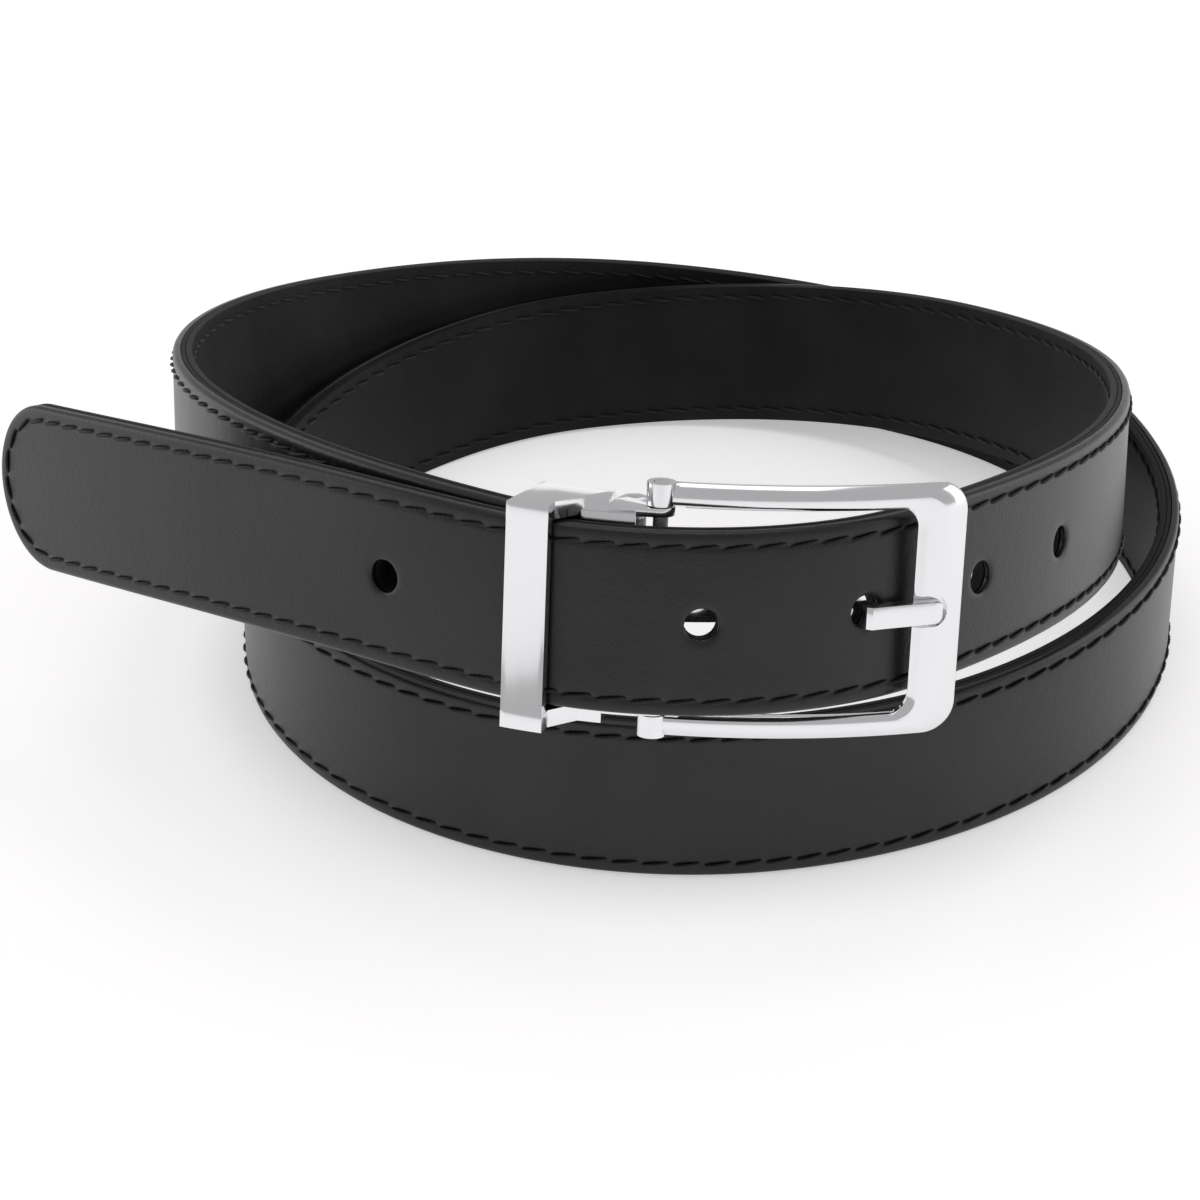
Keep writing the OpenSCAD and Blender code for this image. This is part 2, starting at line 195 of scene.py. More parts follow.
def stations(step):
    """Places across the strap as (edge run, edge rise, inward run, inward rise)."""
    count = round(TIP_ARC[-1] / step)
    arcs = (np.arange(count) + 0.5) / count * TIP_ARC[-1]
    inner = np.stack(tip_outline(1.0, FINE_ANGLES), -1)
    rows = []
    for a in arcs:
        e = [np.interp(a, TIP_ARC, TIP_EDGE[:, c]) for c in (0, 1)]
        i = [np.interp(a, TIP_ARC, inner[:, c]) for c in (0, 1)]
        rows.append([e[0], e[1], i[0] - e[0], i[1] - e[1]])
    start = TIP_LENGTH - TIP_RUN
    for r in np.linspace(start, HELD_RUN, round((HELD_RUN - start) / step) + 1):
        rows.append([r, HALF_WIDTH, 0.0, -1.0])
    return np.array(rows)


def needle_points(pitch, upper_start, lower_start):
    """Needle holes along the seam, from the lower row round the tip to the upper row."""
    first = TIP_LENGTH - TIP_RUN + 1
    lower = np.arange(lower_start - 40 * pitch, HELD_RUN - 2, pitch)
    upper = np.arange(upper_start - 40 * pitch, HELD_RUN - 2, pitch)
    lower = lower[lower > first]
    upper = upper[upper > first]
    run, rise = tip_outline(STITCH_INSET, FINE_ANGLES)
    curve = np.concatenate([[[lower[0], -ROW_RISE]], np.stack([run, -rise], -1)[::-1],
                            np.stack([run, rise], -1)[1:], [[upper[0], ROW_RISE]]])
    arc = np.concatenate([[0], np.cumsum(np.hypot(*np.diff(curve, axis=0).T))])
    count = round(arc[-1] / pitch)
    steps = arc[-1] * np.arange(1, count) / count
    tip = np.stack([np.interp(steps, arc, curve[:, c]) for c in (0, 1)], -1)
    low = np.stack([lower[::-1], np.full(len(lower), -ROW_RISE)], -1)
    top = np.stack([upper, np.full(len(upper), ROW_RISE)], -1)
    return np.concatenate([low, tip, top])


# ---- meshes ----

def make_object(name, verts, faces, sharp=50.0):
    mesh = bpy.data.meshes.new(name)
    mesh.from_pydata([tuple(v) for v in verts], [], faces)
    tidy = bmesh.new()
    tidy.from_mesh(mesh)
    bmesh.ops.recalc_face_normals(tidy, faces=tidy.faces)
    tidy.to_mesh(mesh)
    tidy.free()
    mesh.polygons.foreach_set("use_smooth", [True] * len(mesh.polygons))
    mesh.set_sharp_from_angle(angle=math.radians(sharp))
    obj = bpy.data.objects.new(name, mesh)
    bpy.context.scene.collection.objects.link(obj)
    return obj


def round_edge(inset, radius):
    inside = np.clip(radius - np.asarray(inset, float), 0, radius)
    return radius - np.sqrt(radius * radius - inside * inside)


def strap_layer(name, low, high, step, face_bands, face_round, back_round, recess=0.0,
                needles=None, groove=0.0, dent=0.0, rim=0.0):
    """One layer of the strap with its punched holes, as a closed mesh."""
    inner = 6
    share = [1 - k / inner for k in range(inner)]
    inset = [BAND] * inner + list(face_bands)
    share += [0.0] * len(face_bands)
    depth = [high] * inner + [high - x for x in round_edge(face_bands, face_round)]
    face_count = len(inset)
    inset += [0.0, 0.15, BAND] + [BAND] * inner
    share += [0.0, 0.0, 0.0] + [k / inner for k in range(1, inner + 1)]
    depth += [low + back_round, low] + [low] * (inner + 1)
    inset, share, depth = (np.array(a) for a in (inset, share, depth))
    inset_moved = inset + recess * (inset < BAND)
    m = len(inset)
    n = 2 * m - 2
    rows = stations(step)
    edge = rows[:, None, 0:2]
    inward = rows[:, None, 2:4]
    place = edge + inward * inset_moved[None, :, None]
    middle = place.copy()
    middle[..., 1] = 0
    place = place + (middle - place) * share[None, :, None]
    z = np.repeat(depth[None, :], len(rows), 0)
    on_face = np.arange(m) < face_count
    if groove:
        z = z - groove * np.exp(-((inset - STITCH_INSET) / 0.4) ** 2)[None, :] * on_face
    sides = []
    for sign in (1, -1):
        p = place * np.array([1, sign])
        zz = z.copy()
        if needles is not None:
            band = on_face & (share == 0)
            cols = np.nonzero(band)[0]
            for i in range(len(rows)):
                near = needles[np.abs(needles[:, 0] - rows[i, 0]) < 6]
                if rows[i, 0] > -TIP_RUN + TIP_LENGTH + 4:
                    near = near[near[:, 1] * sign > 0]
                if not len(near):
                    continue
                gap = p[i, cols][:, None, :] - near[None]
                far = (gap[..., 0] / 0.55) ** 2 + (gap[..., 1] / 0.45) ** 2
                zz[i, cols] -= dent * np.exp(-far).max(1)
        sides.append((p, zz))
    (pu, zu), (pl, zl) = sides
    ring = np.concatenate([pu, pl[:, m - 2:0:-1]], 1)
    ring_z = np.concatenate([zu, zl[:, m - 2:0:-1]], 1)
    flat = ring.reshape(-1, 2)
    flat_z = ring_z.reshape(-1)
    verts = list(on_strap(flat[:, 0], flat[:, 1], flat_z))
    faces = []
    skip = set()
    half = 3
    front = [(j % n) for j in range(-half, half + 1)]
    back = [m - 1 + k for k in range(half, -half - 1, -1)]
    patches = []
    for centre in HOLE_RUNS:
        i0 = int(np.searchsorted(rows[:, 0], centre - PATCH_REACH))
        i1 = int(np.searchsorted(rows[:, 0], centre + PATCH_REACH))
        for i in range(i0, i1):
            for cols in (front, back):
                for a, b in zip(cols, cols[1:]):
                    skip.add((i, a, b))
                    skip.add((i, b, a))
        loops = []
        for cols in (front, back):
            loop = [(i, cols[0]) for i in range(i0, i1)]
            loop += [(i1, c) for c in cols[:-1]]
            loop += [(i, cols[-1]) for i in range(i1, i0, -1)]
            loop += [(i0, c) for c in cols[:0:-1]]
            loops.append(loop)
        patches.append((centre, loops))
    for i in range(len(rows) - 1):
        base = i * n
        for j in range(n):
            k = (j + 1) % n
            if (i, j, k) not in skip:
                faces.append((base + j, base + k, base + n + k, base + n + j))
    for base in (0, (len(rows) - 1) * n):
        faces.append((base, base + 1, base + n - 1))
        for k in range(1, m - 2):
            faces.append((base + k, base + k + 1, base + n - k - 1, base + n - k))
        faces.append((base + m - 2, base + m - 1, base + m))
    radii = [4.1, 3.6, 3.2, 2.95, 2.78, HOLE_RADIUS]
    dips = [0.0, 0.06, 0.2, 0.42, 0.7, 1.0]
    for centre, (front_loop, back_loop) in patches:
        chains = []
        for loop, level, sign in ((front_loop, high, -1), (back_loop, low, 1)):
            ids = [i * n + j for i, j in loop]
            around = np.array([flat[v] for v in ids])
            away = around - np.array([centre, 0.0])
            away /= np.linalg.norm(away, axis=1)[:, None]
            chain = [ids]
            ring_places = [(0.5 * (around + np.array([centre, 0]) + away * radii[0]), 0.0)]
            for r, dip in zip(radii, dips):
                ring_places.append((np.array([centre, 0]) + away * r, dip * rim))
            for places, dip in ring_places:
                new = on_strap(places[:, 0], places[:, 1], np.full(len(ids), level + sign * dip))
                start = len(verts)
                verts.extend(new)
                chain.append(list(range(start, start + len(ids))))
            chains.append(chain)
        for a, b in zip(chains[0], chains[0][1:]):
            patch_quads(faces, a, b)
        for a, b in zip(chains[1], chains[1][1:]):
            patch_quads(faces, b, a)
        patch_quads(faces, chains[0][-1], chains[1][-1])
    return make_object(name, verts, faces)


def patch_quads(faces, a, b):
    count = len(a)
    for k in range(count):
        q = (k + 1) % count
        faces.append((a[k], a[q], b[q], b[k]))


def stitch_row(name, needles, level, outwards, rings, sides, radius, lift):
    """Thread lying between each two needle holes, with its ends drawn into the leather."""
    a = needles[:-1]
    b = needles[1:]
    keep = np.hypot(*(b - a).T) < 8
    a, b = a[keep], b[keep]
    span = b - a
    length = np.hypot(*span.T)
    d = span / length[:, None]
    e = np.stack([-d[:, 1], d[:, 0]], -1)
    centre = (a + b) / 2
    edge_side = np.sign(np.sum(e * (centre - np.array([60.0, 0.0])), 1))
    e = e * edge_side[:, None]
    s = np.linspace(0, 1, rings)
    slant = 0.36
    reach = 0.93
    x = (s - 0.5) * reach
    v = (s * 2 - 1) * slant
    up = np.sin(np.pi * s) ** 0.45 * (radius * 0.75 + lift) - 0.34 * (1 - np.sin(np.pi * s)) ** 3
    taper = 0.72 + 0.28 * np.sin(np.pi * s) ** 0.4
    phi = np.arange(sides) / sides * 2 * np.pi
    twist = s * 2 * np.pi * 2.6
    r = radius * taper[:, None] * (1 + 0.16 * np.cos(2 * (phi[None] - twist[:, None])))
    off = r * np.cos(phi)[None]
    dep = r * np.sin(phi)[None] + up[:, None]
    run_rise = (centre[:, None, None, :]
                + d[:, None, None, :] * (x[None, :, None, None] * length[:, None, None, None])
                + e[:, None, None, :] * (v[None, :, None, None] + off[None, :, :, None]))
    z = np.broadcast_to(level + outwards * dep, run_rise.shape[:3])
    verts = on_strap(run_rise[..., 0].ravel(), run_rise[..., 1].ravel(), z.ravel())
    faces = []
    for q in range(len(a)):
        base = q * rings * sides
        for i in range(rings - 1):
            for j in range(sides):
                k = (j + 1) % sides
                p = base + i * sides
                faces.append((p + j, p + k, p + sides + k, p + sides + j))
        faces.append(tuple(base + j for j in range(sides)))
        faces.append(tuple(base + (rings - 1) * sides + j for j in range(sides)))
    return make_object(name, verts, faces, 80)


# ---- the buckle, drawn in its own frame and then put on the strap ----

SLIDE_GAP = 0.8
EDGE_GAP = 0.6
FRAME_GAP = 1.3
SIDE_BAR = 3.9
RUNNING_FIT = 0.05
PRESS_FIT = 0.02
PLATE_DEPTH = -HALF_THICK - SLIDE_GAP
INNER_RISE = HALF_WIDTH + EDGE_GAP
WALL_THICK = 1.4
WALL_RISE = INNER_RISE + WALL_THICK
HINGE_RADIUS = 1.2
KNUCKLE_RADIUS = HINGE_RADIUS + 0.9
PIN_DEPTH = PLATE_DEPTH - PLATE_THICK - 0.5 - KNUCKLE_RADIUS
LUG_RISE = WALL_RISE + 0.2
FRAME_RISE = INNER_RISE + FRAME_GAP + SIDE_BAR
JAW_DEPTH = -TURN_GAP - HALF_THICK - 0.6
JAW_PIN_RADIUS = 1.0
JAW_KNUCKLE = JAW_PIN_RADIUS + 0.8
JAW_PIN_DEPTH = JAW_DEPTH - JAW_KNUCKLE - 0.1
JAW_PIN_RUN = -5.0
EAR_RADIUS = 2.3
CLAMP_RUN = 22.5
KEEPER_WIDTH = 6.5
KEEPER_THICK = 2.0
KEEPER_DEPTH = HALF_THICK + 0.9
LEG_THICK = 2.8
LEG_END = KEEPER_WIDTH - CLAMP_RUN
SLOPE_END = LEG_END + 3.5
STEP_RUN = -8.5
WALL_BACK = -TURN_GAP - HALF_THICK - 0.5
WALL_FRONT = PLATE_DEPTH - 0.6
FRAME_BOW = 95.0
FRAME_REACH = 45.0
FRAME_PITCH = math.radians(9.0)
END_BAR = 8.5
FRAME_THICK = 2.6
CORNER = 5.0
INNER_CORNER = 3.0
PRONG_WIDTH = 3.6
PRONG_THICK = 2.0


def at_bend(run, depth):
    a = run / BUCKLE_BEND
    return ((BUCKLE_BEND + depth) * math.sin(a), BUCKLE_BEND - (BUCKLE_BEND + depth) * math.cos(a))


PIN_PLACE = at_bend(0, PIN_DEPTH)
JAW_PIN_PLACE = at_bend(JAW_PIN_RUN, JAW_PIN_DEPTH)
BOW_HALF = math.asin(FRAME_REACH / 2 / FRAME_BOW)
BOW_CENTRE = (
    PIN_PLACE[0] + FRAME_REACH / 2 * math.cos(FRAME_PITCH)
    - FRAME_BOW * math.cos(BOW_HALF) * math.sin(FRAME_PITCH),
    PIN_PLACE[1] + FRAME_REACH / 2 * math.sin(FRAME_PITCH)
    + FRAME_BOW * math.cos(BOW_HALF) * math.cos(FRAME_PITCH),
)
BAR_ANGLE = FRAME_PITCH + BOW_HALF
BAR_HALF_ANGLE = END_BAR / 2 / FRAME_BOW


def on_bow(angle, radius):
    return (BOW_CENTRE[0] + radius * math.sin(angle), BOW_CENTRE[1] - radius * math.cos(angle))


FRAME_END = on_bow(BAR_ANGLE + BAR_HALF_ANGLE, FRAME_BOW)[0]
BAR_INNER = on_bow(BAR_ANGLE - BAR_HALF_ANGLE, FRAME_BOW)[0]
REST_DEPTH = 1.1
REST_RADIUS = PRONG_WIDTH / 2 + 0.8
REST_ANGLE = BAR_ANGLE - BAR_HALF_ANGLE + math.radians(1.8)
REST_BOW = FRAME_BOW + FRAME_THICK / 2 - REST_DEPTH


def buckle_matrix():
    row = pose(0.0)
    m = Matrix.Identity(4)
    for c in range(3):
        m[c][0] = row[3 + c]
        m[c][1] = -row[9 + c]
        m[c][2] = row[6 + c]
        m[c][3] = row[c] * MM
    return m


def local_object(name, verts, faces):
    """Object from points in the buckle's own frame, in millimetres."""
    mesh = bpy.data.meshes.new(name)
    mesh.from_pydata([tuple(float(c) * MM for c in v) for v in verts], [], faces)
    work = bmesh.new()
    work.from_mesh(mesh)
    bmesh.ops.recalc_face_normals(work, faces=work.faces)
    work.to_mesh(mesh)
    work.free()
    obj = bpy.data.objects.new(name, mesh)
    bpy.context.scene.collection.objects.link(obj)
    return obj


def prism(name, outline, low, high):
    n = len(outline)
    verts = [(x, y, low) for x, y in outline] + [(x, y, high) for x, y in outline]
    faces = [tuple(range(n)), tuple(range(n, 2 * n))]
    faces += [(k, (k + 1) % n, n + (k + 1) % n, n + k) for k in range(n)]
    return local_object(name, verts, faces)


def upright_prism(name, outline, low, high):
    """Prism of an outline in X and Z, standing along Y."""
    n = len(outline)
    verts = [(x, low, z) for x, z in outline] + [(x, high, z) for x, z in outline]
    faces = [tuple(range(n)), tuple(range(n, 2 * n))]
    faces += [(k, (k + 1) % n, n + (k + 1) % n, n + k) for k in range(n)]
    return local_object(name, verts, faces)


def circle(place, radius, count=48):
    return [(place[0] + radius * math.cos(2 * math.pi * k / count),
             place[1] + radius * math.sin(2 * math.pi * k / count)) for k in range(count)]


def bend_slab(name, runs, depths, rises):
    count = max(3, int(abs(runs[1] - runs[0]) / 0.8))
    steps = [runs[0] + (runs[1] - runs[0]) * k / count for k in range(count + 1)]
    outline = [at_bend(r, depths[1]) for r in steps] + [at_bend(r, depths[0]) for r in steps[::-1]]
    return prism(name, outline, rises[0], rises[1])


def baked(obj):
    """The object with its modifiers made part of its mesh."""
    bpy.context.view_layer.update()
    graph = bpy.context.evaluated_depsgraph_get()
    mesh = bpy.data.meshes.new_from_object(obj.evaluated_get(graph))
    old = obj.data
    obj.modifiers.clear()
    obj.data = mesh
    bpy.data.meshes.remove(old)
    return obj


def combine(base, others, operation):
    for other in others:
        mod = base.modifiers.new("cut", "BOOLEAN")
        mod.operation = operation
        mod.solver = "EXACT"
        mod.object = other
        baked(base)
        bpy.data.objects.remove(other)
    return base


def soften(obj, width, segments, angle=30.0):
    """Round the edges, shade smoothly and put the piece on the strap."""
    mod = obj.modifiers.new("edges", "BEVEL")
    mod.width = width * MM
    mod.segments = segments
    mod.limit_method = "ANGLE"
    mod.angle_limit = math.radians(angle)
    mod.use_clamp_overlap = True
    mod.harden_normals = False
    baked(obj)
    return placed(obj)


def placed(obj, sharp=38.0):
    mesh = obj.data
    mesh.transform(buckle_matrix())
    mesh.polygons.foreach_set("use_smooth", [True] * len(mesh.polygons))
    mesh.set_sharp_from_angle(angle=math.radians(sharp))
    return obj


def rounded_end(left, right, half, radius, count=12):
    """Outline in X and Z with two rounded corners on the right, from the top left."""
    pts = [(left, half)]
    for k in range(count + 1):
        a = math.pi / 2 * (1 - k / count)
        pts.append((right - radius + radius * math.cos(a), half - radius + radius * math.sin(a)))
    for k in range(count + 1):
        a = -math.pi / 2 * k / count
        pts.append((right - radius + radius * math.cos(a), -half + radius + radius * math.sin(a)))
    pts.append((left, -half))
    return pts


def resample(points, parts):
    """Points spread along each stretch of a polyline, with the given count on each."""
    out = []
    for (a, b, count) in parts:
        seg = np.array(points[a:b + 1])
        arc = np.concatenate([[0], np.cumsum(np.hypot(*np.diff(seg, axis=0).T))])
        t = np.linspace(0, arc[-1], count, endpoint=False)
        out += [(np.interp(x, arc, seg[:, 0]), np.interp(x, arc, seg[:, 1])) for x in t]
    out.append(tuple(points[parts[-1][1]]))
    return out


def frame_blank():
    """The frame's bar swept along its U, between the outer and the inner outline."""
    corner = 12
    outer = rounded_end(PIN_PLACE[0], FRAME_END, FRAME_RISE, CORNER, corner)
    inner = rounded_end(PIN_PLACE[0], BAR_INNER, INNER_RISE + FRAME_GAP, INNER_CORNER, corner)
    parts = [(0, 1, 40), (1, 1 + corner, corner), (1 + corner, 2 + corner, 30),
             (2 + corner, 2 + 2 * corner, corner), (2 + 2 * corner, 3 + 2 * corner, 40)]
    outer, inner = resample(outer, parts), resample(inner, parts)
    half = FRAME_THICK / 2
    profile = [(0.0, -half + 0.5), (0.0, half - 1.4), (0.03, half - 1.15), (0.38, half - 0.06),
               (0.44, half), (0.8, half), (0.84, half - 0.05), (0.97, half - 0.6),
               (1.0, half - 0.8), (1.0, -half + 0.5), (0.94, -half + 0.08), (0.9, -half),
               (0.1, -half), (0.06, -half + 0.08)]
    verts = []
    for (xo, zo), (xi, zi) in zip(outer, inner):
        for f, lift in profile:
            x = xo + (xi - xo) * f
            z = zo + (zi - zo) * f
            radius = FRAME_BOW + lift
            angle = math.asin((x - BOW_CENTRE[0]) / radius)
            verts.append((x, BOW_CENTRE[1] - radius * math.cos(angle), z))
    n = len(profile)
    rows = len(outer)
    faces = [tuple(range(n)), tuple((rows - 1) * n + k for k in range(n))]
    for i in range(rows - 1):
        for k in range(n):
            q = (k + 1) % n
            faces.append((i * n + k, i * n + q, (i + 1) * n + q, (i + 1) * n + k))
    return local_object("frame_metal", verts, faces)


def build_frame_piece():
    obj = frame_blank()
    posts = [prism("lug", circle(PIN_PLACE, EAR_RADIUS), s[0], s[1])
             for s in ((LUG_RISE, FRAME_RISE), (-FRAME_RISE, -LUG_RISE))]
    combine(obj, posts, "UNION")
    box = [(-10, -20), (EAR_RADIUS + 1.6, -20), (EAR_RADIUS + 1.6, 40), (-10, 40)]
    bore = prism("bore", circle(PIN_PLACE, HINGE_RADIUS + RUNNING_FIT), -FRAME_RISE - 1, FRAME_RISE + 1)
    combine(obj, [prism("room", box, -LUG_RISE, LUG_RISE), bore], "DIFFERENCE")
    spot = on_bow(REST_ANGLE, REST_BOW)
    ends = [(spot[0] - 10, REST_RADIUS)]
    ends += [(spot[0] + REST_RADIUS * math.sin(a), REST_RADIUS * math.cos(a))
             for a in np.linspace(0, math.pi, 25)]
    ends.append((spot[0] - 10, -REST_RADIUS))
    cut = upright_prism("rest", ends, spot[1] - 10, spot[1])
    spin = Matrix.Translation((spot[0] * MM, spot[1] * MM, 0))
    spin = spin @ Matrix.Rotation(REST_ANGLE, 4, "Z")
    cut.data.transform(spin @ Matrix.Translation((-spot[0] * MM, -spot[1] * MM, 0)))
    combine(obj, [cut], "DIFFERENCE")
    return soften(obj, 0.18, 2, 38)


def clamp_side(sign):
    leg_top = KEEPER_DEPTH + KEEPER_THICK
    runs = list(np.arange(-CLAMP_RUN, LEG_END, 0.8)) + [LEG_END]
    outline = [at_bend(r, leg_top) for r in runs]
    outline += [at_bend(LEG_END, KEEPER_DEPTH - 1), at_bend(SLOPE_END, WALL_FRONT),
                at_bend(STEP_RUN, WALL_FRONT)]
    outline += [at_bend(r, WALL_BACK) for r in np.arange(STEP_RUN, -CLAMP_RUN, -1.0)]
    outline.append(at_bend(-CLAMP_RUN, WALL_BACK))
    z = sorted((sign * (INNER_RISE - 0.01), sign * (INNER_RISE + LEG_THICK)))
    leg = prism("leg", outline, *z)
    pts = circle(PIN_PLACE, EAR_RADIUS) + circle(JAW_PIN_PLACE, EAR_RADIUS)
    pts += [at_bend(STEP_RUN - 2, WALL_FRONT - 0.3), at_bend(STEP_RUN - 2, WALL_BACK + 0.3)]
    z = sorted((sign * INNER_RISE, sign * WALL_RISE))
    tab = prism("tab", hull(pts), *z)
    return [leg, tab]


def hull(points):
    """Convex outline round some points."""
    pts = sorted(set(points))

    def half(items):
        out = []
        for p in items:
            while len(out) > 1 and ((out[-1][0] - out[-2][0]) * (p[1] - out[-2][1])
                                    - (out[-1][1] - out[-2][1]) * (p[0] - out[-2][0])) <= 0:
                out.pop()
            out.append(p)
        return out[:-1]

    return half(pts) + half(pts[::-1])


def build_clamp_piece():
    reach = INNER_RISE + 0.9
    top = KEEPER_DEPTH + KEEPER_THICK - 0.02
    obj = bend_slab("clamp_metal", (-CLAMP_RUN + 0.02, LEG_END - 0.02), (KEEPER_DEPTH, top),
                    (-reach, reach))
    plate = bend_slab("plate", (-CLAMP_RUN + 0.15, -4), (PLATE_DEPTH - PLATE_THICK, PLATE_DEPTH),
                      (-INNER_RISE - 0.7, INNER_RISE + 0.7))
    sides = clamp_side(1) + clamp_side(-1)
    combine(obj, sides + [plate], "UNION")
    bores = [prism("bore", circle(PIN_PLACE, HINGE_RADIUS + PRESS_FIT), -WALL_RISE - 2, WALL_RISE + 2),
             prism("bore", circle(JAW_PIN_PLACE, JAW_PIN_RADIUS + PRESS_FIT), -WALL_RISE - 2,
                   WALL_RISE + 2)]
    combine(obj, bores, "DIFFERENCE")
    return soften(obj, 0.4, 3)


def build_prong_piece():
    left = PRONG_HOLE_RUN - PRONG_THICK / 2
    right = PRONG_HOLE_RUN + PRONG_THICK / 2
    shank = PIN_DEPTH + 0.6
    finger = HALF_THICK + 0.3
    low = REST_BOW + 0.15
    high = low + PRONG_THICK
    deg = math.radians
    outline = [at_bend(r, shank) for r in np.arange(1, left, 1.0)]
    outline += [at_bend(left, shank), at_bend(left, finger + 1.2),
                at_bend(left + 0.6, finger + 2), at_bend(right + 1, finger + 2.4),
                on_bow(REST_ANGLE - deg(1.5), high), on_bow(REST_ANGLE + deg(0.4), high - 0.2),
                on_bow(REST_ANGLE + deg(0.9), high - 0.8), on_bow(REST_ANGLE + deg(0.9), low + 0.4),
                on_bow(REST_ANGLE + deg(0.6), low), on_bow(REST_ANGLE - deg(2.4), low),
                at_bend(right + 1, finger + 0.1), at_bend(right, finger - 0.4),
                at_bend(right, shank - PRONG_THICK)]
    outline += [at_bend(r, shank - PRONG_THICK) for r in np.arange(right - 1, 1, -1.0)]
    obj = prism("prong_metal", outline, -PRONG_WIDTH / 2, PRONG_WIDTH / 2)
    end = on_bow(REST_ANGLE + deg(0.9), high)[0]
    round_tip = upright_prism("round", rounded_end(-10, end, PRONG_WIDTH / 2 + 0.001, 1.75),
                              -40, 40)
    combine(obj, [round_tip], "INTERSECT")
    knuckle = prism("knuckle", circle(PIN_PLACE, KNUCKLE_RADIUS), -PRONG_WIDTH / 2,
                    PRONG_WIDTH / 2)
    combine(obj, [knuckle], "UNION")
    bore = prism("bore", circle(PIN_PLACE, HINGE_RADIUS + RUNNING_FIT), -PRONG_WIDTH, PRONG_WIDTH)
    combine(obj, [bore], "DIFFERENCE")
    return soften(obj, 0.5, 3)


# ---- materials ----

def node_group(name, inputs, outputs):
    group = bpy.data.node_groups.new(name, "ShaderNodeTree")
    for label, kind, default in inputs:
        s = group.interface.new_socket(label, in_out="INPUT", socket_type=kind)
        if default is not None:
            s.default_value = default
    for label, kind in outputs:
        group.interface.new_socket(label, in_out="OUTPUT", socket_type=kind)
    return group, group.nodes.new("NodeGroupInput"), group.nodes.new("NodeGroupOutput")


def leather_group():
    """Pebbled grain with fine pores, and a slow change of tone from handling."""
    if "leather_grain" in bpy.data.node_groups:
        return bpy.data.node_groups["leather_grain"]
    g, start, end = node_group(
        "leather_grain",
        [("Vector", "NodeSocketVector", None), ("Dark", "NodeSocketColor", (0.004, 0.004, 0.0045, 1)),
         ("Light", "NodeSocketColor", (0.01, 0.01, 0.011, 1)),
         ("Rough low", "NodeSocketFloat", 0.3), ("Rough high", "NodeSocketFloat", 0.4)],
        [("Color", "NodeSocketColor"), ("Roughness", "NodeSocketFloat"),
         ("Height", "NodeSocketFloat")])
    new = g.nodes.new
    cells = new("ShaderNodeTexVoronoi")
    cells.inputs["Scale"].default_value = 1500
    cells.feature = "SMOOTH_F1"
    pores = new("ShaderNodeTexNoise")
    pores.inputs["Scale"].default_value = 3200
    pores.inputs["Detail"].default_value = 3
    creases = new("ShaderNodeTexNoise")
    creases.inputs["Scale"].default_value = 420
    creases.inputs["Detail"].default_value = 4
    tone = new("ShaderNodeTexNoise")
    tone.inputs["Scale"].default_value = 55
    tone.inputs["Detail"].default_value = 5
    for tex in (cells, pores, creases, tone):
        g.links.new(start.outputs["Vector"], tex.inputs["Vector"])
    a = new("ShaderNodeMath")
    a.operation = "MULTIPLY_ADD"
    a.inputs[1].default_value = 0.45
    g.links.new(cells.outputs["Distance"], a.inputs[0])
    g.links.new(pores.outputs["Fac"], a.inputs[2])
    b = new("ShaderNodeMath")
    b.operation = "MULTIPLY_ADD"
    b.inputs[1].default_value = 0.9
    g.links.new(creases.outputs["Fac"], b.inputs[0])
    g.links.new(a.outputs[0], b.inputs[2])
    g.links.new(b.outputs[0], end.inputs["Height"])
    span = new("ShaderNodeMapRange")
    span.inputs["From Min"].default_value = 0.35
    span.inputs["From Max"].default_value = 0.68
    g.links.new(tone.outputs["Fac"], span.inputs["Value"])
    mix = new("ShaderNodeMix")
    mix.data_type = "RGBA"
    g.links.new(span.outputs[0], mix.inputs[0])
    g.links.new(start.outputs["Dark"], mix.inputs[6])
    g.links.new(start.outputs["Light"], mix.inputs[7])
    g.links.new(mix.outputs[2], end.inputs["Color"])
    rough = new("ShaderNodeMapRange")
    g.links.new(tone.outputs["Fac"], rough.inputs["Value"])
    g.links.new(start.outputs["Rough low"], rough.inputs["To Min"])
    g.links.new(start.outputs["Rough high"], rough.inputs["To Max"])
    g.links.new(rough.outputs[0], end.inputs["Roughness"])
    return g


